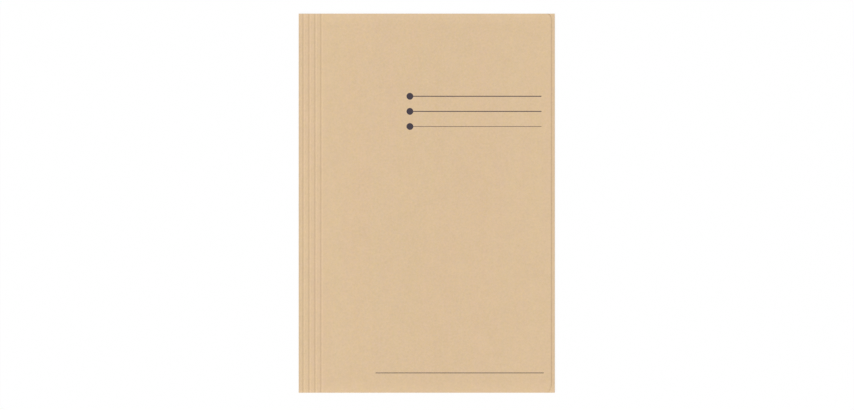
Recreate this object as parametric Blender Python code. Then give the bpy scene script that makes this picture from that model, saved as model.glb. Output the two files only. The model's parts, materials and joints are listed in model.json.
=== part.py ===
"""Three-flap folder of scored manila card, closed and lying on its back cover.

The card is one die-cut sheet. Its panels, the strips between its score lines and its four folds are
separate objects here, because each turns against its neighbour. The frame has its origin on the table under
the middle of the folder, +X from the spine to the fore edge, +Y to the top of the page and +Z up through the
front cover.
"""
import math

import bmesh
import bpy
from mathutils import Vector

# Driving dimensions, in metres
WIDTH = 0.2365             # over the spine fold and the fore-edge fold
HEIGHT = 0.350             # over the top fold and the bottom fold
CARD = 0.0004              # thickness of the card
LAYER_GAP = 0.0003         # air between two layers of card
FOLD_GAP = 0.0003          # clearance between a fold and the panels that it joins
CREASE_GAP = 0.0003        # width of the slit that stands for a score line
CREASE_COUNT = 4           # score lines at the spine, and at the root of each flap
FIRST_CREASE = 0.0045      # from the outside of a fold to the first score line
CREASE_PITCH = 0.0055      # from one score line to the next
COVER_SETBACK = 0.0033     # front cover's fore edge, back from the fore-edge fold
COVER_TOP_CORNER = 0.0052  # radius of the front cover's free corner at the top
COVER_FOOT_CORNER = 0.0076  # radius of its free corner at the bottom
END_FLAP_DEPTH = 0.070     # top and bottom flaps, from fold to free edge
END_FLAP_INSET = 0.024     # from the spine to the near end of their folds
END_FLAP_RELIEF = 0.0015   # from the fore edge to the far end of their folds
END_FLAP_MITRE = 45.0      # slope of their ends, in degrees from square
END_FLAP_CORNER = 0.008    # radius of their free corners
SIDE_FLAP_DEPTH = 0.085    # side flap, from fold to free edge
SIDE_FLAP_CORNER = 0.012   # radius of its free corners

# A fold is half round, so its radius is half of the height that it spans
LAYER_STEP = CARD + LAYER_GAP
END_LAYER = 1
SIDE_LAYER = 2
COVER_LAYER = 3

# How finely the round stretches are faceted
FOLD_SEGMENTS = 12
CORNER_SEGMENTS = 8

CARD_COLOUR = (0.714, 0.527, 0.332, 1.0)
CARD_ROUGHNESS = 0.9


def layer_bottom(layer):
    """Height of a layer's lower face, with layer 0 on the table."""
    return layer * LAYER_STEP


def fold_radius(layer):
    """Outer radius of the fold that brings a layer round over the back cover."""
    return (layer_bottom(layer) + CARD) / 2


def crease_distance(number):
    """Distance of score line 1, 2, 3 or 4 from the outside of its fold."""
    return FIRST_CREASE + (number - 1) * CREASE_PITCH


class Edge:
    """One folded edge of the folder: u runs along the edge, v runs inwards from the outside of its fold."""

    def __init__(self, name, layer, outside, along, inward):
        self.name = name
        self.layer = layer
        self.outside = Vector(outside)
        self.along = Vector(along)
        self.inward = Vector(inward)
        self.radius = fold_radius(layer)

    def point(self, u, v, z):
        place = self.outside + self.along * u + self.inward * v
        return Vector((place.x, place.y, z))

    def fold_axis(self):
        """The line along the outside of the bend, half-way up it, about which the layer above opens flat."""
        return self.point(0.0, 0.0, self.radius)

    def crease_axis(self, number):
        """Half a gap above the card, so that a panel can turn right over and lie on its neighbour."""
        outer_face = layer_bottom(self.layer) + CARD
        return self.point(0.0, crease_distance(number), outer_face + LAYER_GAP / 2)


SPINE = Edge("spine", COVER_LAYER, (-WIDTH / 2, 0, 0), (0, 1, 0), (1, 0, 0))
SIDE = Edge("side", SIDE_LAYER, (WIDTH / 2, 0, 0), (0, 1, 0), (-1, 0, 0))
TOP = Edge("top", END_LAYER, (0, HEIGHT / 2, 0), (1, 0, 0), (0, -1, 0))
BOTTOM = Edge("bottom", END_LAYER, (0, -HEIGHT / 2, 0), (1, 0, 0), (0, 1, 0))


def end_flap_span(v):
    """Both ends of a top or bottom flap, at a depth v from the outside of its fold."""
    slope = math.tan(math.radians(END_FLAP_MITRE))
    near = -WIDTH / 2 + END_FLAP_INSET + v * slope
    far = WIDTH / 2 - END_FLAP_RELIEF - v * slope
    return near, far


def full_span(v):
    """Both ends of a layer that is as long as the folder, at any depth v."""
    return -HEIGHT / 2, HEIGHT / 2


def rounded_outline(corners):
    """Points round a convex outline of (u, v, radius) corners, with an arc at each that has a radius."""
    points = []
    for index, (u, v, radius) in enumerate(corners):
        corner = Vector((u, v))
        if radius == 0:
            points.append(corner)
            continue
        before = Vector(corners[index - 1][:2]) - corner
        after = Vector(corners[(index + 1) % len(corners)][:2]) - corner
        before.normalize()
        after.normalize()
        half_angle = before.angle(after) / 2
        centre = corner + (before + after).normalized() * (radius / math.sin(half_angle))
        start = corner + before * (radius / math.tan(half_angle)) - centre
        turn = start.angle_signed(corner + after * (radius / math.tan(half_angle)) - centre)
        for step in range(CORNER_SEGMENTS + 1):
            angle = -turn * step / CORNER_SEGMENTS
            spoke = Vector((
                start.x * math.cos(angle) - start.y * math.sin(angle),
                start.x * math.sin(angle) + start.y * math.cos(angle),
            ))
            points.append(centre + spoke)
    return points


def card_material(name):
    material = bpy.data.materials.new(name + "_card")
    material.use_nodes = True
    shader = material.node_tree.nodes["Principled BSDF"]
    shader.inputs["Base Color"].default_value = CARD_COLOUR
    shader.inputs["Roughness"].default_value = CARD_ROUGHNESS
    shader.inputs["Metallic"].default_value = 0.0
    return material


def swept_object(name, ring, sweep, origin, parent):
    """A closed solid: the ring of points as one face, extruded along the sweep, seen from its own origin."""
    solid = bmesh.new()
    face = solid.faces.new([solid.verts.new(point - origin) for point in ring])
    extruded = bmesh.ops.extrude_face_region(solid, geom=[face])
    moved = [item for item in extruded["geom"] if isinstance(item, bmesh.types.BMVert)]
    bmesh.ops.translate(solid, verts=moved, vec=sweep)
    bmesh.ops.recalc_face_normals(solid, faces=solid.faces)
    mesh = bpy.data.meshes.new(name)
    solid.to_mesh(mesh)
    solid.free()
    mesh.materials.append(card_material(name))
    piece = bpy.data.objects.new(name, mesh)
    bpy.context.collection.objects.link(piece)
    piece.location = origin
    if parent is not None:
        piece.parent = parent
        bpy.context.view_layer.update()
        piece.location = parent.matrix_world.inverted() @ origin
    bpy.context.view_layer.update()
    return piece


def flat_panel(name, edge, layer, outline, origin, parent):
    """A panel of card in one layer, from an outline of (u, v) points on an edge."""
    ring = [edge.point(u, v, layer_bottom(layer)) for u, v in outline]
    return swept_object(name, ring, Vector((0, 0, CARD)), origin, parent)


def crease_strip(name, edge, start, end, span, origin, parent):
    """A strip of card between two score lines, cut off at both ends by the span of its flap or cover."""
    outline = [
        (span(start)[0], start),
        (span(start)[1], start),
        (span(end)[1], end),
        (span(end)[0], end),
    ]
    return flat_panel(name, edge, edge.layer, outline, origin, parent)


def fold(edge, span, parent):
    """The half-round bend of card that joins the back cover to a layer above it."""
    centre = edge.radius
    profile = []
    for radius, sense in ((edge.radius, 1), (edge.radius - CARD, -1)):
        for step in range(FOLD_SEGMENTS + 1):
            angle = sense * (math.pi * step / FOLD_SEGMENTS - math.pi / 2)
            profile.append((centre - radius * math.cos(angle), centre + radius * math.sin(angle)))
    near, far = span(centre)
    ring = [edge.point(near, v, z) for v, z in profile]
    return swept_object(edge.name + "_fold", ring, edge.along * (far - near), edge.fold_axis(), parent)


def strips(edge, stem, span, parent):
    """The chain of strips from a fold to the last score line, each hung on the one before it."""
    carrier = parent
    start = edge.radius + FOLD_GAP
    axis = edge.fold_axis()
    for number in range(1, CREASE_COUNT + 1):
        end = crease_distance(number) - CREASE_GAP / 2
        carrier = crease_strip(f"{stem}_{number}", edge, start, end, span, axis, carrier)
        start = crease_distance(number) + CREASE_GAP / 2
        axis = edge.crease_axis(number)
    return carrier


def flap(edge, depth, corner, span, parent):
    """A flap: its fold, its strips and the free panel past its last score line."""
    fold(edge, span, parent)
    carrier = strips(edge, edge.name + "_gusset", span, parent)
    start = crease_distance(CREASE_COUNT) + CREASE_GAP / 2
    corners = [
        (span(start)[0], start, 0),
        (span(start)[1], start, 0),
        (span(depth)[1], depth, corner),
        (span(depth)[0], depth, corner),
    ]
    outline = rounded_outline(corners)
    axis = edge.crease_axis(CREASE_COUNT)
    return flat_panel(edge.name + "_flap", edge, edge.layer, outline, axis, carrier)


def back_cover():
    """The panel on the table, which stops short of the folds and is cut level with the cover by the spine."""
    spine_side = SPINE.radius + FOLD_GAP
    fore_side = WIDTH - SIDE.radius - FOLD_GAP
    ear_side = WIDTH / 2 + end_flap_span(TOP.radius)[0] - FOLD_GAP
    reach = HEIGHT / 2 - TOP.radius - FOLD_GAP
    ear_reach = HEIGHT / 2
    upper = [(ear_reach, spine_side), (ear_reach, ear_side), (reach, ear_side), (reach, fore_side)]
    lower = [(-u, v) for u, v in reversed(upper)]
    return flat_panel("back_cover", SPINE, 0, upper + lower, Vector((0, 0, 0)), None)


def front_cover(carrier):
    """The panel past the spine's last score line, with two rounded corners on its fore edge."""
    start = crease_distance(CREASE_COUNT) + CREASE_GAP / 2
    fore_edge = WIDTH - COVER_SETBACK
    low, high = full_span(start)
    corners = [
        (low, start, 0),
        (high, start, 0),
        (high, fore_edge, COVER_TOP_CORNER),
        (low, fore_edge, COVER_FOOT_CORNER),
    ]
    outline = rounded_outline(corners)
    axis = SPINE.crease_axis(CREASE_COUNT)
    return flat_panel("front_cover", SPINE, COVER_LAYER, outline, axis, carrier)


def clear_scene():
    for item in list(bpy.data.objects):
        bpy.data.objects.remove(item, do_unlink=True)


def main():
    clear_scene()
    back = back_cover()
    flap(TOP, END_FLAP_DEPTH, END_FLAP_CORNER, end_flap_span, back)
    flap(BOTTOM, END_FLAP_DEPTH, END_FLAP_CORNER, end_flap_span, back)
    flap(SIDE, SIDE_FLAP_DEPTH, SIDE_FLAP_CORNER, full_span, back)
    fold(SPINE, full_span, back)
    front_cover(strips(SPINE, "spine_strip", full_span, back))


main()
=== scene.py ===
# %% [markdown]
# # Dressing a three-flap folder
# The folder is one sheet of manila card that was die-cut, scored and folded. A frame of plain solids
# already gives the size and place of every panel, strip and fold, and it carries the hinges. This lesson
# puts real card over those solids: pressed score lines, round bends, eased cut edges, fibres in the card
# and ink on the cover. Every piece is built where the frame says, so nothing has to be fitted afterwards.

# %% The frame
import json
import math

import bmesh
import bpy
from mathutils import Matrix, Vector

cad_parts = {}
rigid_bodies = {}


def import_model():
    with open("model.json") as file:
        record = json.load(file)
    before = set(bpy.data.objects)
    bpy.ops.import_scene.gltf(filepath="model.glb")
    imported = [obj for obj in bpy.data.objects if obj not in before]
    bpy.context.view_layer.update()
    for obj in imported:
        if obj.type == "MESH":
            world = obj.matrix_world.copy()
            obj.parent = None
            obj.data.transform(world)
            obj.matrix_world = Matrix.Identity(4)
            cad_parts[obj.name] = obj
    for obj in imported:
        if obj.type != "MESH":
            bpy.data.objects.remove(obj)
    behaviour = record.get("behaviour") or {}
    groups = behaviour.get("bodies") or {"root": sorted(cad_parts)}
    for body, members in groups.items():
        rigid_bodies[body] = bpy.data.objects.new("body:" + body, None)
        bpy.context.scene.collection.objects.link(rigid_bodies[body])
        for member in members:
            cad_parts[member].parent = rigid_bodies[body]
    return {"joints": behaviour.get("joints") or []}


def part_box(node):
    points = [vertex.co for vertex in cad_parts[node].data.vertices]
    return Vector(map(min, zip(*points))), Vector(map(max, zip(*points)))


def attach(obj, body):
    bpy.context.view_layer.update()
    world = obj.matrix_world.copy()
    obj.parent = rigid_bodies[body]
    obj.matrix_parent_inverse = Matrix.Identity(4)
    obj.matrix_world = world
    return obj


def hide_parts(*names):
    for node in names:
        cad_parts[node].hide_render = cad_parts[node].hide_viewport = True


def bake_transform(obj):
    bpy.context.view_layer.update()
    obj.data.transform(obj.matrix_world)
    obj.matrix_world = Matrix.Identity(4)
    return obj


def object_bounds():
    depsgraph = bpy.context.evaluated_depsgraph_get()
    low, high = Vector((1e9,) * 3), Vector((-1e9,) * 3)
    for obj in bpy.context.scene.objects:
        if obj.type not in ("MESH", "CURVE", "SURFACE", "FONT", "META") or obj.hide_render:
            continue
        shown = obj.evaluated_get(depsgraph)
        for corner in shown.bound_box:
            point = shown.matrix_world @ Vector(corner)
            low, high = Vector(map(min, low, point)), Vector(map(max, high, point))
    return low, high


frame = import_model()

JOINTS = {joint["name"]: joint for joint in frame["joints"]}

# %% [markdown]
# ## Sizes from the frame
# A designer would read the sizes off the drawing. Here the solids are the drawing: the box round each one
# says how thick the card is and where each layer lies. Reading them keeps this script right when the
# folder is made in another size, so only what the boxes don't tell is written as a number.

# %% Overall sizes
cad_low, cad_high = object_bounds()
WIDTH = cad_high.x - cad_low.x
HEIGHT = cad_high.y - cad_low.y
back_low, back_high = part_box("back_cover")
CARD = back_high.z - back_low.z
COVER_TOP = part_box("front_cover")[1].z
print(f"folder {WIDTH * 1000:.1f} x {HEIGHT * 1000:.1f} mm, card {CARD * 1000:.2f} mm thick")

# %% [markdown]
# ## Four folded edges
# The sheet is folded at its spine, foot, fore edge and head, and each time the card comes round over the
# back cover in the same order: a round bend, strips between score lines, then a wide panel. So one
# description serves all four. It has axes of its own, x inwards from the edge and y along it, and a
# quarter turn takes it from one edge to the next. The ends of the flaps are mitred, and their slope
# follows from the boxes of the first strip and the panel.

# %% One description for the four edges
STRIP_COUNT = 4


class FoldedEdge:
    """A folded edge of the sheet, with x inwards over the folder, y along the edge and z up."""

    def __init__(self, name, quarter_turns, hinge, strip_stem, panel):
        turn = quarter_turns * math.pi / 2
        outside = Vector((-math.cos(turn) * WIDTH / 2, -math.sin(turn) * HEIGHT / 2, 0))
        self.name = name
        self.place = Matrix.Translation(outside) @ Matrix.Rotation(turn, 4, "Z")
        self.root_body = JOINTS[hinge]["parent"]
        self.body = JOINTS[hinge]["child"]
        self.radius = JOINTS[hinge]["pos_m"][2]
        self.fold = name + "_fold"
        self.strips = [f"{strip_stem}_{number}" for number in range(1, STRIP_COUNT + 1)]
        self.panel = panel
        self.read_boxes()

    def local_box(self, node):
        """The lowest and highest corners of a node, along the axes of this edge."""
        corners = [self.place.inverted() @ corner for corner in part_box(node)]
        return Vector(map(min, *corners)), Vector(map(max, *corners))

    def read_boxes(self):
        """Takes the scores, the slopes of both ends and the free edge from the boxes of the nodes."""
        boxes = [self.local_box(node) for node in (*self.strips, self.panel)]
        self.scores = [(before[1].x + after[0].x) / 2 for before, after in zip(boxes, boxes[1:])]
        self.first_low, self.first_high = boxes[0]
        panel_low, panel_high = boxes[-1]
        run = panel_low.x - self.first_low.x
        self.near_slope = (panel_low.y - self.first_low.y) / run
        self.far_slope = (panel_high.y - self.first_high.y) / run
        self.free_edge = panel_high.x
        self.underside = panel_low.z

    def near(self, x):
        """The y of one end of the card, at a distance x from the edge."""
        return self.first_low.y + self.near_slope * (x - self.first_low.x)

    def far(self, x):
        """The y of the other end."""
        return self.first_high.y + self.far_slope * (x - self.first_low.x)


SPINE = FoldedEdge("spine", 0, "spine_open", "spine_strip", "front_cover")
FOOT = FoldedEdge("bottom", 1, "bottom_flap_open", "bottom_gusset", "bottom_flap")
FORE = FoldedEdge("side", 2, "side_flap_open", "side_gusset", "side_flap")
HEAD = FoldedEdge("top", 3, "top_flap_open", "top_gusset", "top_flap")
EDGES = [SPINE, FOOT, FORE, HEAD]
for edge in EDGES:
    print(edge.name, "scores at", [round(score * 1000, 2) for score in edge.scores], "mm from the edge")

# %% [markdown]
# ## Sums with sockets
# Both the finishes and the node-made shapes need arithmetic on sockets. Adding each Math node by hand
# hides the formula, so one small class wraps a socket and lets Python's own operators add those nodes.
# Any other node comes from its node method, which takes the type, the settings and the socket values.

# %% The socket wrapper
class Wire:
    """A node's output. Sums with it add Math nodes to its tree."""

    def __init__(self, socket):
        self.socket = socket
        self.tree = socket.id_data

    @staticmethod
    def node(tree, kind, settings=None, sockets=None, output=0):
        """Adds a node and gives one of its outputs. A list puts several wires into one socket."""
        made = tree.nodes.new(kind)
        for name, value in (settings or {}).items():
            setattr(made, name, value)
        for key, value in (sockets or {}).items():
            several = value if isinstance(value, list) else [value]
            for item in several:
                if isinstance(item, Wire):
                    tree.links.new(item.socket, made.inputs[key])
                else:
                    made.inputs[key].default_value = item
        return Wire(made.outputs[output])

    def math(self, operation, *terms):
        values = dict(enumerate((self, *terms)))
        return Wire.node(self.tree, "ShaderNodeMath", {"operation": operation}, values)

    def other(self, output):
        """Another output of the same node."""
        return Wire(self.socket.node.outputs[output])

    def clamped(self):
        """The value, kept between 0 and 1."""
        return Wire.node(self.tree, "ShaderNodeClamp", None, {"Value": self})

    def __add__(self, term):
        return self.math("ADD", term)

    def __sub__(self, term):
        return self.math("SUBTRACT", term)

    def __rsub__(self, term):
        return self * -1 + term

    def __mul__(self, term):
        return self.math("MULTIPLY", term)

    def __truediv__(self, term):
        return self.math("DIVIDE", term)

    __radd__ = __add__
    __rmul__ = __mul__


print("sums with sockets are ready")

# %% [markdown]
# ## Manila card
# Manila card is a matt, buff board of unbleached pulp. From arm's length it is one even colour. Closer
# to, the pulp is cloudy, single fibres show lighter and darker, and a few brown specks lie in it. An
# image would give this only at one scale, so the finish is built from noise in layers: clouds of two
# centimetres, flocks of seven millimetres, clumps of two, grain of less than half a millimetre, and noise
# stretched into fibres at several slants. Wide streaks run along the page, as the board ran through the
# machine. Flocks, clumps and streaks also change the tint, because the dye takes unevenly, and most of
# that is in the blue. Height from the grain and the fibres feeds a bump, so that slanted light finds the
# surface. Card that was pressed, at a score or at the fold of the spine, is a little smoother, and it is
# painted darker there: partly for wear, and partly as painted shade in the grooves and on the round of
# the spine's fold. Towards its sides, its head and its foot the card is a little paler.

# %% Nodes that several finishes share
MIX_FACTOR, MIX_FIRST, MIX_SECOND, MIX_RESULT = 0, 6, 7, 2


def blank_material(name):
    """A new material, with its tree and its shader."""
    material = bpy.data.materials.new(name)
    material.use_nodes = True
    return material, material.node_tree, material.node_tree.nodes["Principled BSDF"]


def feed(shader, **wires):
    """Links wires to the shader's sockets, named with an underscore for a space."""
    for name, wire in wires.items():
        wire.tree.links.new(wire.socket, shader.inputs[name.replace("_", " ")])


def object_place(tree):
    return Wire.node(tree, "ShaderNodeTexCoord", output="Object")


def axes_of(place):
    """The x of a place, whose other outputs are its Y and Z."""
    return Wire.node(place.tree, "ShaderNodeSeparateXYZ", None, {"Vector": place})


def vector_math(operation, first, *terms):
    values = dict(enumerate((first, *terms)))
    return Wire.node(first.tree, "ShaderNodeVectorMath", {"operation": operation}, values)


def noise(place, scale, detail, roughness=0.5):
    return Wire.node(place.tree, "ShaderNodeTexNoise", None, {
        "Vector": place, "Scale": scale, "Detail": detail, "Roughness": roughness,
    })


def stretched(place, sizes, slant=0.0):
    """The place, measured in units of a size for each axis, after a turn in the plane of the page."""
    return Wire.node(place.tree, "ShaderNodeMapping", {"vector_type": "TEXTURE"}, {
        "Vector": place, "Rotation": (0, 0, slant), "Scale": sizes,
    })


def with_alpha(colour):
    """A colour as a Mix node takes it: a wire as it is, or three numbers with an alpha of 1."""
    return colour if isinstance(colour, Wire) else (*colour, 1.0)


def mixed(factor, first, second):
    """The first colour, going over to the second where the factor rises to 1."""
    sockets = {MIX_FACTOR: factor, MIX_FIRST: with_alpha(first), MIX_SECOND: with_alpha(second)}
    return Wire.node(factor.tree, "ShaderNodeMix", {"data_type": "RGBA"}, sockets, MIX_RESULT)


def bumped(height, strength, distance):
    return Wire.node(height.tree, "ShaderNodeBump", None, {
        "Strength": strength, "Distance": distance, "Height": height,
    })


print("nodes for the finishes are ready")


# %% Fibres
FIBRE_LENGTH = 0.0020
FIBRE_WIDTH = 0.00016
FIBRE_CURLS_PER_METRE = 260
FIBRE_CURL = 0.0022
FIBRE_CRISPNESS = 14
FIBRE_DETAIL = 1.0


def leaned(place):
    """The place, moved along by its height, so that the wall of a bend is patterned as a level face is."""
    height = axes_of(place).other("Z")
    lean = Wire.node(place.tree, "ShaderNodeCombineXYZ", None, {"X": height, "Y": height})
    return vector_math("ADD", place, lean)


def curled(place):
    """The place, pushed about by soft noise, so that straight streaks drawn with it come out curled."""
    push = noise(place, FIBRE_CURLS_PER_METRE, FIBRE_DETAIL).other("Color")
    return vector_math("MULTIPLY_ADD", push, (FIBRE_CURL,) * 3, place)


def fibres(place, slants, scarcity):
    """A mask of thin streaks, which lie at each of some slants from the length of the page."""
    masks = []
    for slant in slants:
        along = stretched(place, (FIBRE_WIDTH, FIBRE_LENGTH, FIBRE_LENGTH), slant)
        streaks = noise(along, 1.0, FIBRE_DETAIL)
        masks.append(((streaks - scarcity) * FIBRE_CRISPNESS).clamped())
    return sum(masks[1:], masks[0]).clamped()


print("fibres:", FIBRE_LENGTH * 1000, "mm long")

# %% Specks
SPECKS_PER_METRE = 130
SPECK_LEAST = 0.004
SPECK_SPREAD = 0.035
SPECK_SCARCITY = 0.80
SPECK_CRISPNESS = 50


def specks(place):
    """A mask of spots of several sizes, in a few of the cells of a Voronoi pattern."""
    cells = Wire.node(place.tree, "ShaderNodeTexVoronoi", None, {
        "Vector": place, "Scale": SPECKS_PER_METRE,
    })
    chance = Wire.node(place.tree, "ShaderNodeSeparateColor", None, {"Color": cells.other("Color")})
    spot = (1 - cells / (chance * SPECK_SPREAD + SPECK_LEAST)).clamped()
    rare = ((chance.other("Green") - SPECK_SCARCITY) * SPECK_CRISPNESS).clamped()
    return spot * rare


print("specks: in", round(100 * (1 - SPECK_SCARCITY)), "cells of a hundred")

# %% Uneven dye and paler rims
RIM_PALER = 0.052
RIM_DEPTH = 0.011
SIDES_PALER = 0.022
SIDES_MIDDLE = 0.022
SIDES_REACH = 0.113


def tinted(colour, dyes, strengths):
    """The colour, with each channel raised and lowered by the same channel of a coloured noise."""
    lowest = tuple(1 - strength / 2 for strength in strengths)
    gain = vector_math("MULTIPLY_ADD", dyes.other("Color"), strengths, lowest)
    return vector_math("MULTIPLY", colour, gain)


def paler_towards_rims(place):
    """How much paler the card is towards the sides, the head and the foot of the sheet."""
    across = axes_of(place)
    rim = ((across.other("Y").math("ABSOLUTE") - (HEIGHT / 2 - RIM_DEPTH)) / RIM_DEPTH).clamped()
    sides = (across - SIDES_MIDDLE) / SIDES_REACH
    return rim * RIM_PALER + (sides * sides).clamped() * SIDES_PALER


print("rims: faded for", RIM_DEPTH * 1000, "mm")

# %% Cloudy pulp
CLOUDS_PER_METRE = 42
CLOUD_DETAIL = 2.0
CLOUD_SHADE = 0.05
FLOCKS_PER_METRE = 140
FLOCK_DETAIL = 3.0
FLOCK_HARSHNESS = 0.8
FLOCK_SHADE = 0.09
FLOCK_TINTS = (0.02, 0.035, 0.15)
CLUMPS_PER_METRE = 520
CLUMP_DETAIL = 3.0
CLUMP_SHADE = 0.15
CLUMP_TINTS = (0.03, 0.05, 0.25)
GRAIN_PER_METRE = 2600
GRAIN_DETAIL = 2.0
GRAIN_SHADE = 0.10
STREAK_SIZE = (0.030, 0.5, 0.5)
STREAK_DETAIL = 4.0
STREAK_HARSHNESS = 0.95
STREAK_TINTS = (0.04, 0.07, 0.13)
EVEN = 0.5


def pulp(place):
    """Clouds, flocks, clumps and grain, each of them noise about the EVEN level, and streaks."""
    clouds = noise(place, CLOUDS_PER_METRE, CLOUD_DETAIL)
    flocks = noise(place, FLOCKS_PER_METRE, FLOCK_DETAIL, FLOCK_HARSHNESS)
    clumps = noise(place, CLUMPS_PER_METRE, CLUMP_DETAIL)
    grain = noise(place, GRAIN_PER_METRE, GRAIN_DETAIL)
    streaks = noise(stretched(place, STREAK_SIZE), 1.0, STREAK_DETAIL, STREAK_HARSHNESS)
    return clouds, flocks, clumps, grain, streaks


print("pulp: grain of", round(1000 / GRAIN_PER_METRE, 2), "mm")

# %% The finish of the card's two faces
CARD_COLOUR = (0.6955, 0.5105, 0.3205)
CARD_ROUGHNESS = 0.84
CARD_GLOSS = 0.25
CLUMP_ROUGHNESS = 0.14
LIGHT_FIBRE = (0.790, 0.620, 0.430)
LIGHT_SLANTS = (0.2, 1.1, 2.3)
LIGHT_SCARCITY = 0.66
LIGHT_STRENGTH = 0.34
DARK_FIBRE = (0.560, 0.390, 0.225)
DARK_SLANTS = (0.7, 1.7, 2.8)
DARK_SCARCITY = 0.68
DARK_STRENGTH = 0.30
SPECK_COLOUR = (0.300, 0.180, 0.090)
SPECK_STRENGTH = 0.55
# Pressed card is painted darker: partly for wear, partly as painted shade in the grooves and on the spine's
# fold
PRESSED_AND_PAINTED_SHADE = "pressed_and_painted_shade"
WEAR_AND_PAINTED_SHADE = 0.20
PRESSED_SMOOTHER = 0.06
BUMP_STRENGTH = 0.35
BUMP_HEIGHT = 0.00004
GRAIN_RELIEF = 0.5
CLUMP_RELIEF = 0.3
LIGHT_RELIEF = 0.35
DARK_RELIEF = 0.15


def manila_card():
    material, tree, shader = blank_material("manila_card")
    place = object_place(tree)
    clouds, flocks, clumps, grain, streaks = pulp(place)
    strewn = curled(leaned(place))
    light = fibres(strewn, LIGHT_SLANTS, LIGHT_SCARCITY)
    dark = fibres(strewn, DARK_SLANTS, DARK_SCARCITY)
    pressed_and_painted_shade = Wire.node(tree, "ShaderNodeAttribute", {"attribute_name": PRESSED_AND_PAINTED_SHADE}, output="Fac")
    # Painted shade and wear darken the pressed card, and the card is paler towards its rims
    shade = 1 + paler_towards_rims(place) - pressed_and_painted_shade * WEAR_AND_PAINTED_SHADE
    shades = ((clouds, CLOUD_SHADE), (flocks, FLOCK_SHADE), (clumps, CLUMP_SHADE), (grain, GRAIN_SHADE))
    for layer, strength in shades:
        shade = shade + (layer - EVEN) * strength
    colour = Wire.node(tree, "ShaderNodeVectorMath", {"operation": "SCALE"}, {
        0: CARD_COLOUR, "Scale": shade,
    })
    for layer, tints in ((flocks, FLOCK_TINTS), (clumps, CLUMP_TINTS), (streaks, STREAK_TINTS)):
        colour = tinted(colour, layer, tints)
    colour = mixed(light * LIGHT_STRENGTH, colour, LIGHT_FIBRE)
    colour = mixed(dark * DARK_STRENGTH, colour, DARK_FIBRE)
    colour = mixed(specks(place) * SPECK_STRENGTH, colour, SPECK_COLOUR)
    roughness = CARD_ROUGHNESS + clumps * CLUMP_ROUGHNESS - pressed_and_painted_shade * PRESSED_SMOOTHER
    height = grain * GRAIN_RELIEF + clumps * CLUMP_RELIEF + light * LIGHT_RELIEF - dark * DARK_RELIEF
    normal = bumped(height, BUMP_STRENGTH, BUMP_HEIGHT)
    feed(shader, Base_Color=colour, Roughness=roughness, Normal=normal)
    shader.inputs["Specular IOR Level"].default_value = CARD_GLOSS
    return material


CARD_FACE = manila_card()
print("finish:", CARD_FACE.name, "with", len(CARD_FACE.node_tree.nodes), "nodes")

# %% [markdown]
# ## Cut edges
# Where the die cuts through the card, the raw middle of the board shows. It is a little paler than the
# pressed faces, rougher, and finely layered, because the fibres lie in the plane of the sheet. A second
# finish with noise squeezed flat along z gives those layers.

# %% The finish of a cut edge
EDGE_PALE = (0.745, 0.580, 0.410)
EDGE_DEEP = (0.630, 0.465, 0.310)
EDGE_ROUGHNESS = 0.95
EDGE_GLOSS = 0.15
LAYER_DEPTH = 0.00011
LAYER_DETAIL = 3.0
LAYER_SCARCITY = 0.38
LAYER_CRISPNESS = 3
LAYER_BUMP_STRENGTH = 0.5
LAYER_BUMP_HEIGHT = 0.00005


def cut_edge():
    material, tree, shader = blank_material("card_cut_edge")
    flattened = stretched(object_place(tree), (FIBRE_LENGTH, FIBRE_LENGTH, LAYER_DEPTH))
    layers = noise(flattened, 1.0, LAYER_DETAIL)
    colour = mixed(((layers - LAYER_SCARCITY) * LAYER_CRISPNESS).clamped(), EDGE_PALE, EDGE_DEEP)
    feed(shader, Base_Color=colour, Normal=bumped(layers, LAYER_BUMP_STRENGTH, LAYER_BUMP_HEIGHT))
    shader.inputs["Roughness"].default_value = EDGE_ROUGHNESS
    shader.inputs["Specular IOR Level"].default_value = EDGE_GLOSS
    return material


CARD_EDGE = cut_edge()
print("finish:", CARD_EDGE.name)

# %% [markdown]
# ## From a mesh to a piece of card
# Every piece of card ends the same way. Its cut edges are eased a little, as a die leaves them, but not
# the edges where it meets its neighbour, because a groove would show there. Its cut faces take the edge
# finish. Then the mesh moves to its place, and the object itself stays at the origin.

# %% Easing the edges and making the piece
EDGE_EASE = 0.00007
EASE_SEGMENTS = 2
ROUND_PROFILE = 0.5
RIM_ANGLE = math.radians(60)
SHARP_ANGLE = math.radians(20)
CUT_SLOPE = 0.5
SAME_PLACE = 0.00001


def thicken(solid, faces, sweep):
    """Extrudes faces along a sweep, and turns the faces of the closed solid outwards."""
    swept = bmesh.ops.extrude_face_region(solid, geom=faces)["geom"]
    moved = [item for item in swept if isinstance(item, bmesh.types.BMVert)]
    bmesh.ops.translate(solid, verts=moved, vec=sweep)
    bmesh.ops.recalc_face_normals(solid, faces=solid.faces)


def ease_cut_edges(solid, on_seam):
    """Rounds the rims of a piece. on_seam tells which places join the next piece and stay square."""
    rims = []
    for edge in solid.edges:
        sharp = edge.calc_face_angle(0) > RIM_ANGLE
        if sharp and not all(on_seam(corner.co) for corner in edge.verts):
            rims.append(edge)
    bmesh.ops.bevel(
        solid,
        geom=rims,
        offset=EDGE_EASE,
        segments=EASE_SEGMENTS,
        profile=ROUND_PROFILE,
        affect="EDGES",
        clamp_overlap=True,
    )


def is_upright(normal):
    """Whether a face of a level piece stands upright, as its cut sides do."""
    return abs(normal.z) < CUT_SLOPE


def finish_solid(solid, mesh, is_cut=is_upright):
    """Turns the faces outwards, gives the cut ones their finish and stores the solid in the mesh."""
    bmesh.ops.recalc_face_normals(solid, faces=solid.faces)
    for face in solid.faces:
        face.material_index = 1 if is_cut(face.normal) else 0
        face.smooth = True
    mesh.materials.clear()
    mesh.materials.append(CARD_FACE)
    mesh.materials.append(CARD_EDGE)
    solid.to_mesh(mesh)
    solid.free()
    mesh.set_sharp_from_angle(angle=SHARP_ANGLE)


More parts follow.
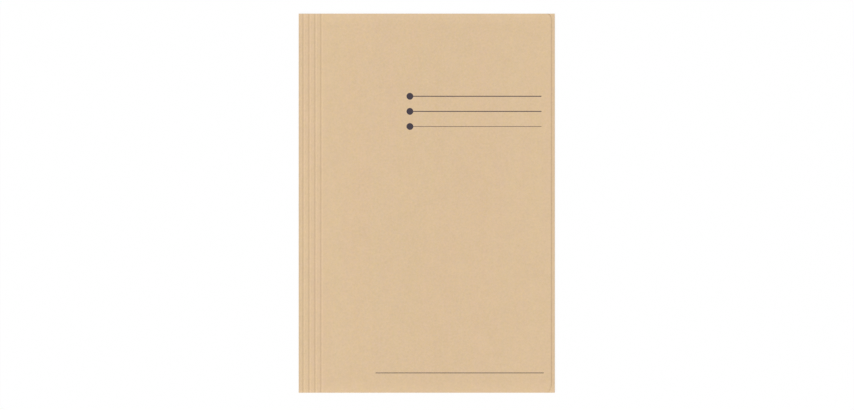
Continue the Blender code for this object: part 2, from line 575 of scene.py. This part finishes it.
def piece_of_card(name, mesh, place):
    """An object at the origin, with its mesh moved to its place on the folder."""
    mesh.transform(place)
    mesh.name = name
    piece = bpy.data.objects.new(name, mesh)
    bpy.context.scene.collection.objects.link(piece)
    return piece


print("cut edges are eased by", EDGE_EASE * 1000, "mm")

# %% [markdown]
# ## Trees that grow a mesh
# A Geometry Nodes tree is a recipe with named sizes. To get a mesh from it, an empty object carries the
# tree as a modifier, the sizes are set by their sockets' identifiers, and the evaluated result is copied
# as a plain mesh. The carrier is then removed, so that no live modifier is left on a piece.

# %% Building a tree and growing a mesh from it
FLOAT = "NodeSocketFloat"
COUNT = "NodeSocketInt"
SWITCH = "NodeSocketBool"
FINISH = "NodeSocketMaterial"


def open_tree(name, sizes):
    """A new tree with named inputs, and a wire from each of them in the same order."""
    tree = bpy.data.node_groups.new(name, "GeometryNodeTree")
    tree.interface.new_socket("Geometry", in_out="OUTPUT", socket_type="NodeSocketGeometry")
    for label, kind in sizes.items():
        tree.interface.new_socket(label, in_out="INPUT", socket_type=kind)
    source = tree.nodes.new("NodeGroupInput")
    return tree, [Wire(source.outputs[label]) for label in sizes]


def close_tree(tree, geometry, material):
    """Makes the geometry real, gives it its finish and sends it to the tree's output."""
    real = Wire.node(tree, "GeometryNodeRealizeInstances", None, {"Geometry": geometry})
    coated = Wire.node(tree, "GeometryNodeSetMaterial", None, {"Geometry": real, "Material": material})
    end = tree.nodes.new("NodeGroupOutput")
    tree.links.new(coated.socket, end.inputs["Geometry"])


def grow(tree, sizes):
    """A plain mesh from a tree, with a value for each of its inputs."""
    carrier = bpy.data.objects.new("carrier", bpy.data.meshes.new("carrier"))
    bpy.context.scene.collection.objects.link(carrier)
    modifier = carrier.modifiers.new(tree.name, "NODES")
    modifier.node_group = tree
    for item in tree.interface.items_tree:
        if item.in_out == "INPUT":
            modifier[item.identifier] = sizes[item.name]
    depsgraph = bpy.context.evaluated_depsgraph_get()
    mesh = bpy.data.meshes.new_from_object(
        carrier.evaluated_get(depsgraph), preserve_all_data_layers=True, depsgraph=depsgraph
    )
    bpy.data.objects.remove(carrier)
    return mesh


print("trees can be grown")

# %% [markdown]
# ## Scored strips
# A score is a line that a blunt rule presses into the card, so that it folds there and nowhere else. It
# leaves a shallow groove on the outer face and a bead on the inner one. The strips between the scores
# repeat at all four edges, and their section follows one rule: the nearest score, and a cosine dip around
# it. So one tree makes them all. It lays a grid over the strip, presses it by that rule, shears its ends
# to the mitre of the flap, and extrudes it to the card's thickness. It also stores how far each point is
# pressed, for the finish to paint darker, partly for wear and partly as painted shade in the groove. The
# scores of the spine are deeper, more worn and more darkly painted than those of the flaps, because the
# spine is folded there most.

# %% The tree of a scored strip
SCORE_HALF_WIDTH = 0.00145
SPINE_SCORE_DEPTH = 0.00030
# How much darker the spine's grooves are painted: partly wear, partly painted shade
SPINE_SCORE_WEAR_AND_SHADE = 0.20
FLAP_SCORE_DEPTH = 0.00008
# How much darker the flaps' grooves are painted, for wear and as painted shade
FLAP_SCORE_WEAR_AND_SHADE = 0.05
POINTS_PER_STRIP = 49
MERGE_DISTANCE = 0.000001


def scored_strip_tree():
    tree, wires = open_tree("scored_strip", {
        "Start": FLOAT, "End": FLOAT,
        "Near Start": FLOAT, "Near End": FLOAT, "Far Start": FLOAT, "Far End": FLOAT,
        "First Score": FLOAT, "Pitch": FLOAT, "Scores": COUNT,
        "Half Width": FLOAT, "Depth": FLOAT, "Wear And Shade": FLOAT,
        "Underside": FLOAT, "Thickness": FLOAT, "Points": COUNT, "Finish": FINISH,
    })
    start, end, near_start, near_end, far_start, far_end = wires[:6]
    first, pitch, scores, half_width, depth, wear_and_shade = wires[6:12]
    underside, thickness, points, finish = wires[12:]
    grid = Wire.node(tree, "GeometryNodeMeshGrid", None, {
        "Size X": 1.0, "Size Y": 1.0, "Vertices X": points, "Vertices Y": 2,
    })
    across = axes_of(Wire.node(tree, "GeometryNodeInputPosition"))
    # The grid is one unit wide about its middle, so half a unit makes its places run from 0 to 1
    inwards = across + 0.5
    along = across.other("Y") + 0.5
    x = start + inwards * (end - start)
    near = near_start + inwards * (near_end - near_start)
    far = far_start + inwards * (far_end - far_start)
    y = near + along * (far - near)
    order = ((x - first) / pitch).math("ROUND")
    nearest = order.math("MAXIMUM", 0.0).math("MINIMUM", scores - 1)
    offset = x - first - nearest * pitch
    reach = (offset.math("ABSOLUTE") / half_width).clamped()
    wave = (reach * math.pi).math("COSINE")
    pressed_and_painted_shade = 0.5 + 0.5 * wave
    lower = Wire.node(tree, "ShaderNodeCombineXYZ", None, {
        "X": x, "Y": y, "Z": underside - depth * pressed_and_painted_shade,
    })
    # The press of each point, scaled for the finish to paint as wear and painted shade
    stored = Wire.node(tree, "GeometryNodeStoreNamedAttribute", {"data_type": "FLOAT", "domain": "POINT"}, {
        "Geometry": grid, "Name": PRESSED_AND_PAINTED_SHADE, "Value": pressed_and_painted_shade * wear_and_shade,
    })
    sheet = Wire.node(tree, "GeometryNodeSetPosition", None, {"Geometry": stored, "Position": lower})
    up = Wire.node(tree, "ShaderNodeCombineXYZ", None, {"Z": 1.0})
    raised = Wire.node(tree, "GeometryNodeExtrudeMesh", {"mode": "FACES"}, {
        "Mesh": sheet, "Offset": up, "Offset Scale": thickness, "Individual": False,
    })
    turned = Wire.node(tree, "GeometryNodeFlipFaces", None, {"Mesh": sheet})
    both = Wire.node(tree, "GeometryNodeJoinGeometry", None, {"Geometry": [raised, turned]})
    closed = Wire.node(tree, "GeometryNodeMergeByDistance", None, {
        "Geometry": both, "Distance": MERGE_DISTANCE,
    })
    close_tree(tree, closed, finish)
    return tree


SCORED_STRIP = scored_strip_tree()
print("tree:", SCORED_STRIP.name, "with", len(SCORED_STRIP.nodes), "nodes")


# %% A strip at an edge
def scored_strip(name, edge, start, end):
    """A piece of card between two distances from an edge, with the scores that fall between them."""
    pitch = edge.scores[1] - edge.scores[0]
    depth = SPINE_SCORE_DEPTH if edge is SPINE else FLAP_SCORE_DEPTH
    # The grooves are painted darker, for wear and as painted shade
    wear_and_shade = SPINE_SCORE_WEAR_AND_SHADE if edge is SPINE else FLAP_SCORE_WEAR_AND_SHADE
    mesh = grow(SCORED_STRIP, {
        "Start": start, "End": end,
        "Near Start": edge.near(start), "Near End": edge.near(end),
        "Far Start": edge.far(start), "Far End": edge.far(end),
        "First Score": edge.scores[0], "Pitch": pitch, "Scores": len(edge.scores),
        "Half Width": SCORE_HALF_WIDTH, "Depth": depth, "Wear And Shade": wear_and_shade,
        "Underside": edge.underside, "Thickness": CARD, "Points": POINTS_PER_STRIP, "Finish": CARD_FACE,
    })

    def on_seam(point):
        return min(abs(point.x - start), abs(point.x - end)) < SAME_PLACE

    solid = bmesh.new()
    solid.from_mesh(mesh)
    ease_cut_edges(solid, on_seam)
    finish_solid(solid, mesh)
    return piece_of_card(name, mesh, edge.place)


def strips_of(edge, last_end):
    """The strips from the bend of an edge to a place just past its last score, or just before it."""
    starts = [edge.radius, *edge.scores[:-1]]
    ends = [*edge.scores[:-1], last_end]
    for node, start, end in zip(edge.strips, starts, ends):
        strip = scored_strip("card_" + node, edge, start, end)
        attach(strip, edge.body)
        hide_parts(node)


for edge in (FOOT, FORE, HEAD):
    strips_of(edge, edge.scores[-1] + SCORE_HALF_WIDTH)
strips_of(SPINE, SPINE.scores[-1] - SCORE_HALF_WIDTH)
print("strips:", sum(len(edge.strips) for edge in EDGES))

# %% [markdown]
# ## The score that the cover lifts at
# The cover turns up along the last score of the spine, so the card there bends while the card on both
# sides stays flat. That narrow band is a piece of its own, built here as it lies with the folder closed.

# %% The hinge band of the cover
COVER_SCORE = SPINE.scores[-1]
band_start = COVER_SCORE - SCORE_HALF_WIDTH
band_end = COVER_SCORE + SCORE_HALF_WIDTH
band = scored_strip("card_cover_score", SPINE, band_start, band_end)
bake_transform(band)
print("hinge band:", round((band_end - band_start) * 1000, 2), "mm wide")

# %% [markdown]
# ## Round bends
# At each edge the card bends through half a turn, from the back cover to the layer that lies over it. It
# was pressed in the making, so the bend is squarer than a half circle, and a superellipse has that form.
# The flaps lie under the weight of the cover, so their bends are pressed squarer than the spine's. The
# section is a C as thick as the card, which an extrusion along the edge makes solid. The hinge lies along
# its outside, so as the folder opens, the bend has to turn inside out into a low ridge. Here each bend is
# built as it lies with the folder closed.

# %% The four bends
BEND_SEGMENTS = 32
SPINE_SQUARENESS = 4.0
FLAP_SQUARENESS = 8.0
# How much darker the outside of a bend is painted: on the spine partly wear and partly painted shade that
# keeps the round from lighting up; none on the flaps
SPINE_FOLD_WEAR_AND_SHADE = 1.0
FLAP_FOLD_WEAR_AND_SHADE = 0.0


def squared(value, squareness):
    """A sine or cosine, changed so that the arc it draws is a squarer superellipse."""
    return math.copysign(abs(value) ** (2 / squareness), value)


def bend_section(radius, squareness):
    """Points round the C in x and z, outer face first, closer together where the arc runs straight."""
    section = []
    for arc_radius, sense in ((radius, 1), (radius - CARD, -1)):
        for step in range(BEND_SEGMENTS + 1):
            share = sense * (2 * step / BEND_SEGMENTS - 1)
            angle = share * abs(share) * math.pi / 2
            x = radius - arc_radius * squared(math.cos(angle), squareness)
            z = radius + arc_radius * squared(math.sin(angle), squareness)
            section.append((x, z))
    return section


def is_bend_end(normal):
    """Whether a face of a bend looks along its edge, as only its cut ends do."""
    return abs(normal.y) > CUT_SLOPE


def card_bend(edge):
    squareness = SPINE_SQUARENESS if edge is SPINE else FLAP_SQUARENESS
    near, far = edge.near(edge.radius), edge.far(edge.radius)

    def on_seam(point):
        return abs(point.x - edge.radius) < SAME_PLACE

    solid = bmesh.new()
    ring = [solid.verts.new((x, near, z)) for x, z in bend_section(edge.radius, squareness)]
    thicken(solid, [solid.faces.new(ring)], (0, far - near, 0))
    ease_cut_edges(solid, on_seam)
    mesh = bpy.data.meshes.new(edge.fold)
    finish_solid(solid, mesh, is_bend_end)
    # The outer round of the bend is painted darker, for wear and as painted shade
    pressed_and_painted_shade = mesh.attributes.new(PRESSED_AND_PAINTED_SHADE, "FLOAT", "POINT")
    most = SPINE_FOLD_WEAR_AND_SHADE if edge is SPINE else FLAP_FOLD_WEAR_AND_SHADE
    for vertex, worn_and_shaded in zip(mesh.vertices, pressed_and_painted_shade.data):
        worn_and_shaded.value = most * min(1.0, max(0.0, 1.0 - vertex.co.x / edge.radius))
    return piece_of_card("card_" + edge.fold, mesh, edge.place)


for edge in EDGES:
    bend = card_bend(edge)
    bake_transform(bend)
    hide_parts(edge.fold)
    print(bend.name, "radius", round(edge.radius * 1000, 2), "mm")

# %% [markdown]
# ## Wide panels
# The back cover, the front cover and the three flaps are flat, with an outline that a die cut. Each
# outline is a polygon of few corners. Bevelling a corner of the flat polygon rounds it, and one extrusion
# gives it the card's thickness. The front cover isn't quite flat on the real folder: it sags until the
# side flap carries it. So it is cut into a grid first and then lowered by a smooth curve.

# %% An outline made solid
CORNER_SEGMENTS = 24


def corner_setback(corner, before, after, radius):
    """How far from the corner its round starts."""
    half_angle = (before - corner).angle(after - corner) / 2
    return radius / math.tan(half_angle)


def card_panel(corners, bottom, on_seam, cuts=()):
    """A panel from (x, y, radius) corners in order, standing on a height and cut at (axis, place) lines."""
    solid = bmesh.new()
    points = [Vector((x, y, bottom)) for x, y, _ in corners]
    ring = [solid.verts.new(point) for point in points]
    solid.faces.new(ring)
    for index, (_, _, radius) in enumerate(corners):
        if radius:
            before, after = points[index - 1], points[(index + 1) % len(points)]
            bmesh.ops.bevel(
                solid,
                geom=[ring[index]],
                offset=corner_setback(points[index], before, after, radius),
                segments=CORNER_SEGMENTS,
                profile=ROUND_PROFILE,
                affect="VERTICES",
            )
    for axis, place in cuts:
        everything = [*solid.verts, *solid.edges, *solid.faces]
        bmesh.ops.bisect_plane(solid, geom=everything, plane_co=axis * place, plane_no=axis)
    thicken(solid, solid.faces[:], (0, 0, CARD))
    ease_cut_edges(solid, on_seam)
    mesh = bpy.data.meshes.new("panel")
    finish_solid(solid, mesh)
    return mesh


print("corners are rounded in", CORNER_SEGMENTS, "steps")

# %% [markdown]
# ## Three flaps
# A flap's panel starts just past its last score and ends in a straight free edge with two rounded
# corners. The end flaps taper at their mitre, and the side flap is as long as the folder.

# %% The flaps
END_FLAP_CORNER = 0.008
SIDE_FLAP_CORNER = 0.012


def flap_panel(edge, radius):
    start = edge.scores[-1] + SCORE_HALF_WIDTH
    end = edge.free_edge
    corners = [
        (start, edge.near(start), 0),
        (end, edge.near(end), radius),
        (end, edge.far(end), radius),
        (start, edge.far(start), 0),
    ]

    def on_seam(point):
        return abs(point.x - start) < SAME_PLACE

    mesh = card_panel(corners, edge.underside, on_seam)
    panel = piece_of_card("card_" + edge.panel, mesh, edge.place)
    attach(panel, edge.body)
    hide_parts(edge.panel)
    return panel


for edge, radius in ((FOOT, END_FLAP_CORNER), (FORE, SIDE_FLAP_CORNER), (HEAD, END_FLAP_CORNER)):
    flap = flap_panel(edge, radius)
    print(flap.name, "reaches", round(edge.free_edge * 1000, 1), "mm from its edge")

# %% [markdown]
# ## The back cover
# The back cover reaches the middle of each bend. Beside the spine there is no flap, so its ends are cut
# level with the front cover, and a narrow slit parts them from the ends of the folds.

# %% The back cover
RELIEF_SLIT = 0.0003


def back_panel():
    spine_line = -WIDTH / 2 + SPINE.radius
    fore_line = WIDTH / 2 - FORE.radius
    fold_line = HEIGHT / 2 - HEAD.radius
    ear_line = HEAD.near(HEAD.radius) - RELIEF_SLIT
    upper = [
        (fore_line, fold_line, 0),
        (ear_line, fold_line, 0),
        (ear_line, HEIGHT / 2, 0),
        (spine_line, HEIGHT / 2, 0),
    ]
    lower = [(x, -y, radius) for x, y, radius in reversed(upper)]

    def on_seam(point):
        on_sides = min(abs(point.x - spine_line), abs(point.x - fore_line)) < SAME_PLACE
        return on_sides or abs(abs(point.y) - fold_line) < SAME_PLACE

    mesh = card_panel(upper + lower, back_low.z, on_seam)
    panel = piece_of_card("card_back_cover", mesh, Matrix.Identity(4))
    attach(panel, "back")
    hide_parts("back_cover")
    return panel


back = back_panel()
print(back.name, "with", len(back.data.polygons), "faces")

# %% [markdown]
# ## The front cover
# The cover is the face of the folder. Its fore edge stops short of the fold beneath, and its two free
# corners are rounded, the one at the foot more than the one at the head. It sags by a fraction of a
# millimetre until it lies on the side flap, so only the card's own thickness draws the thin shadow along
# that edge.

# %% The front cover and its sag
COVER_HEAD_CORNER = 0.0052
COVER_FOOT_CORNER = 0.0076
COVER_SAG = 0.00026
COVER_CELLS_ACROSS = 24
COVER_CELLS_ALONG = 30
COVER_START = band_end


def cover_sag(x):
    """How far the cover has sunk at a distance from the folder's middle, until the side flap carries it."""
    carried_from = WIDTH - FORE.free_edge
    share = (x + WIDTH / 2 - COVER_START) / (carried_from - COVER_START)
    share = min(1.0, max(0.0, share))
    return COVER_SAG * share * share * (3 - 2 * share)


def sag_with_cover(mesh):
    for vertex in mesh.vertices:
        vertex.co.z -= cover_sag(vertex.co.x)


def front_panel():
    end = SPINE.free_edge
    low, high = SPINE.near(end), SPINE.far(end)
    corners = [
        (COVER_START, low, 0),
        (end, low, COVER_FOOT_CORNER),
        (end, high, COVER_HEAD_CORNER),
        (COVER_START, high, 0),
    ]

    def on_seam(point):
        return abs(point.x - COVER_START) < SAME_PLACE

    across = [(end - COVER_START) * step / COVER_CELLS_ACROSS for step in range(1, COVER_CELLS_ACROSS)]
    along = [(high - low) * step / COVER_CELLS_ALONG for step in range(1, COVER_CELLS_ALONG)]
    cuts = [(Vector((1, 0, 0)), COVER_START + place) for place in across]
    cuts += [(Vector((0, 1, 0)), low + place) for place in along]
    mesh = card_panel(corners, SPINE.underside, on_seam, cuts)
    panel = piece_of_card("card_front_cover", mesh, SPINE.place)
    sag_with_cover(panel.data)
    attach(panel, "front_cover")
    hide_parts("front_cover")
    return panel


cover = front_panel()
print(cover.name, "sags", COVER_SAG * 1000, "mm on to the side flap")

# %% [markdown]
# ## Printed writing lines
# The cover is printed with three ruled lines to write on, each starting at a round dot, and one long line
# at the foot. They repeat at an even spacing, so a tree makes them: a line of points, a dot and a rule
# set on each one. The rules print thinner down the page, and that is an input too. Ink has next to no
# thickness, but a film of real geometry keeps the lines crisp at any distance, where a painted mask would
# blur.

# %% The finish of the ink
INK_COLOUR = (0.050, 0.039, 0.052)
INK_THIN = (0.076, 0.060, 0.069)
INK_SCARCITY = 0.48
INK_CRISPNESS = 3
INK_ROUGHNESS = 0.62
INK_MOTTLE_ROUGHNESS = 0.2
INK_GLOSS = 0.25
INK_BUMP_STRENGTH = 0.25
INK_BUMP_HEIGHT = 0.00003


def printing_ink():
    material, tree, shader = blank_material("printing_ink")
    mottle = noise(object_place(tree), GRAIN_PER_METRE, GRAIN_DETAIL)
    colour = mixed(((mottle - INK_SCARCITY) * INK_CRISPNESS).clamped(), INK_COLOUR, INK_THIN)
    roughness = INK_ROUGHNESS + mottle * INK_MOTTLE_ROUGHNESS
    normal = bumped(mottle, INK_BUMP_STRENGTH, INK_BUMP_HEIGHT)
    feed(shader, Base_Color=colour, Roughness=roughness, Normal=normal)
    shader.inputs["Specular IOR Level"].default_value = INK_GLOSS
    return material


PRINTING_INK = printing_ink()
print("finish:", PRINTING_INK.name)

# %% The tree of the writing lines
DOT_SIDES = 64
DOT_FILM = 1.25
RULE_POINTS = 41
FADE_STEEPNESS = 6.0


def writing_lines_tree():
    tree, wires = open_tree("writing_lines", {
        "Lines": COUNT, "Spacing": FLOAT, "Dot Radius": FLOAT,
        "Start": FLOAT, "Length": FLOAT, "Weight": FLOAT, "Fade": FLOAT,
        "Film": FLOAT, "Dots": SWITCH, "Ink": FINISH,
    })
    lines, spacing, dot_radius, start, length, weight, fade, film, dots, ink = wires
    step = Wire.node(tree, "ShaderNodeCombineXYZ", None, {"Y": 0 - spacing})
    rows = Wire.node(tree, "GeometryNodeMeshLine", None, {"Count": lines, "Offset": step})
    disc = Wire.node(tree, "GeometryNodeMeshCylinder", None, {
        "Vertices": DOT_SIDES, "Radius": dot_radius, "Depth": film * DOT_FILM,
    })
    disc_row = Wire.node(tree, "GeometryNodeInstanceOnPoints", None, {"Points": rows, "Instance": disc})
    shown = Wire.node(tree, "GeometryNodeSwitch", {"input_type": "GEOMETRY"}, {
        "Switch": dots, "True": disc_row,
    })
    size = Wire.node(tree, "ShaderNodeCombineXYZ", None, {"X": length - start, "Y": weight, "Z": film})
    bar = Wire.node(tree, "GeometryNodeMeshCube", None, {"Size": size, "Vertices X": RULE_POINTS})
    middle = Wire.node(tree, "ShaderNodeCombineXYZ", None, {"X": (length + start) * 0.5})
    set_off = Wire.node(tree, "GeometryNodeTransform", None, {"Geometry": bar, "Translation": middle})
    index = Wire.node(tree, "GeometryNodeInputIndex")
    share = index / (lines - 1).math("MAXIMUM", 1.0)
    thinned = 1 - fade * share.math("POWER", FADE_STEEPNESS)
    stretch = Wire.node(tree, "ShaderNodeCombineXYZ", None, {"X": 1.0, "Y": thinned, "Z": 1.0})
    rules = Wire.node(tree, "GeometryNodeInstanceOnPoints", None, {
        "Points": rows, "Instance": set_off, "Scale": stretch,
    })
    printing = Wire.node(tree, "GeometryNodeJoinGeometry", None, {"Geometry": [shown, rules]})
    close_tree(tree, printing, ink)
    return tree


WRITING_LINES = writing_lines_tree()
print("tree:", WRITING_LINES.name, "with", len(WRITING_LINES.nodes), "nodes")

# %% The lines on the cover
INK_FILM = 0.00002
LINE_COUNT = 3
DOT_RADIUS = 0.00315
DOT_REACH = 0.99
DOTS_FROM_SPINE = 0.1027
FIRST_LINE_FROM_HEAD = 0.0763
LINE_SPACING = 0.01395
LINES_END_FROM_SPINE = 0.2241
LINE_WEIGHT = 0.00080
LINE_FADE = 0.44
FOOT_LINE_START = 0.0711
FOOT_LINE_END = 0.2263
FOOT_LINE_FROM_FOOT = 0.01833
FOOT_LINE_WEIGHT = 0.00063


def printed(name, x, y, sizes):
    """A film of ink on the cover, whose first row starts at x and y."""
    mesh = grow(WRITING_LINES, {"Film": INK_FILM, "Dot Radius": DOT_RADIUS, "Ink": PRINTING_INK, **sizes})
    mesh.transform(Matrix.Translation((x, y, COVER_TOP)))
    sag_with_cover(mesh)
    mesh.name = name
    piece = bpy.data.objects.new(name, mesh)
    bpy.context.scene.collection.objects.link(piece)
    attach(piece, "front_cover")
    print(name, "with", len(mesh.polygons), "faces")


printed("ink_writing_lines", DOTS_FROM_SPINE - WIDTH / 2, HEIGHT / 2 - FIRST_LINE_FROM_HEAD, {
    "Lines": LINE_COUNT, "Spacing": LINE_SPACING, "Dots": True,
    "Start": DOT_RADIUS * DOT_REACH, "Length": LINES_END_FROM_SPINE - DOTS_FROM_SPINE,
    "Weight": LINE_WEIGHT, "Fade": LINE_FADE,
})
printed("ink_foot_line", FOOT_LINE_START - WIDTH / 2, FOOT_LINE_FROM_FOOT - HEIGHT / 2, {
    "Lines": 1, "Spacing": LINE_SPACING, "Dots": False,
    "Start": 0.0, "Length": FOOT_LINE_END - FOOT_LINE_START,
    "Weight": FOOT_LINE_WEIGHT, "Fade": 0.0,
})

# %% [markdown]
# ## Floor and light
# The folder lies on a plain white table. The light is soft and comes from the left, low enough for the
# grooves to show a dark and a bright side. The world gives the even part of it. Together they light a
# level face at a strength of one, so a colour renders about as it is written. The table and the world are
# shown white to the camera and in reflections, with part of the table's real shading kept for the
# folder's shadow.

# %% The floor
FLOOR_SIZE = 30.0
FLOOR_BELOW = 0.00002
FLOOR_COLOUR = (0.98, 0.98, 0.98, 1.0)
FLOOR_ROUGHNESS = 0.9
FLOOR_WHITE = 0.93
WHITE = (1, 1, 1, 1)


def seen_rays(tree):
    """1 for the rays that show the surroundings: the camera's own, and those off gloss or through glass."""
    direct = Wire.node(tree, "ShaderNodeLightPath", output="Is Camera Ray")
    return (direct + direct.other("Is Glossy Ray") + direct.other("Is Transmission Ray")).clamped()


def white_table():
    material, tree, shader = blank_material("white_table")
    shader.inputs["Base Color"].default_value = FLOOR_COLOUR
    shader.inputs["Roughness"].default_value = FLOOR_ROUGHNESS
    shader.inputs["Specular IOR Level"].default_value = 0.0
    glow = Wire.node(tree, "ShaderNodeEmission", None, {"Color": WHITE, "Strength": 1.0})
    share = seen_rays(tree) * FLOOR_WHITE
    shown = Wire.node(tree, "ShaderNodeMixShader", None, {0: share, 1: Wire(shader.outputs[0]), 2: glow})
    tree.links.new(shown.socket, tree.nodes["Material Output"].inputs["Surface"])
    return material


def flat_floor():
    solid = bmesh.new()
    bmesh.ops.create_grid(solid, x_segments=1, y_segments=1, size=FLOOR_SIZE / 2)
    bmesh.ops.translate(solid, verts=solid.verts, vec=(0, 0, cad_low.z - FLOOR_BELOW))
    mesh = bpy.data.meshes.new("table")
    solid.to_mesh(mesh)
    solid.free()
    mesh.materials.append(white_table())
    return mesh


table = bpy.data.objects.new("table", flat_floor())
bpy.context.scene.collection.objects.link(table)
print("table:", FLOOR_SIZE, "m square")

# %% Light from the left
WORLD_LEVEL = 0.57
KEY_LEVEL = 0.43
KEY_ELEVATION = math.radians(48)
KEY_AZIMUTH = math.radians(24)
KEY_SOFTNESS = math.radians(32)


def studio_world():
    world = bpy.data.worlds.new("studio")
    world.use_nodes = True
    tree = world.node_tree
    strength = seen_rays(tree) * (1 - WORLD_LEVEL) + WORLD_LEVEL
    tree.links.new(strength.socket, tree.nodes["Background"].inputs["Strength"])
    tree.nodes["Background"].inputs["Color"].default_value = WHITE
    bpy.context.scene.world = world


def key_light():
    lamp = bpy.data.lights.new("key", "SUN")
    lamp.energy = KEY_LEVEL * math.pi / math.sin(KEY_ELEVATION)
    lamp.angle = KEY_SOFTNESS
    key = bpy.data.objects.new("key", lamp)
    level = math.cos(KEY_ELEVATION)
    towards = Vector((
        -level * math.cos(KEY_AZIMUTH),
        -level * math.sin(KEY_AZIMUTH),
        math.sin(KEY_ELEVATION),
    ))
    key.rotation_euler = towards.to_track_quat("Z", "Y").to_euler()
    bpy.context.scene.collection.objects.link(key)


studio_world()
key_light()
print("light: world", WORLD_LEVEL, "and key", KEY_LEVEL)

# %% [markdown]
# ## Camera
# The picture looks straight down on the closed folder from far off, so its edges stay parallel. A long
# lens does that. The distance follows from the width that the picture covers.

# %% The camera
PICTURE_WIDTH = 0.7883
PICTURE_CENTRE = (0.00023, -0.00167)
LENS = 200.0
SENSOR = 36.0
FARTHEST_SEEN = 100.0

camera_data = bpy.data.cameras.new("camera")
camera_data.lens = LENS
camera_data.sensor_width = SENSOR
camera_data.clip_end = FARTHEST_SEEN
camera = bpy.data.objects.new("camera", camera_data)
camera.location = (*PICTURE_CENTRE, COVER_TOP + PICTURE_WIDTH * LENS / SENSOR)
bpy.context.scene.collection.objects.link(camera)
bpy.context.scene.camera = camera
bpy.context.scene.view_settings.view_transform = "Standard"
print("camera:", round(camera.location.z, 3), "m above the table")
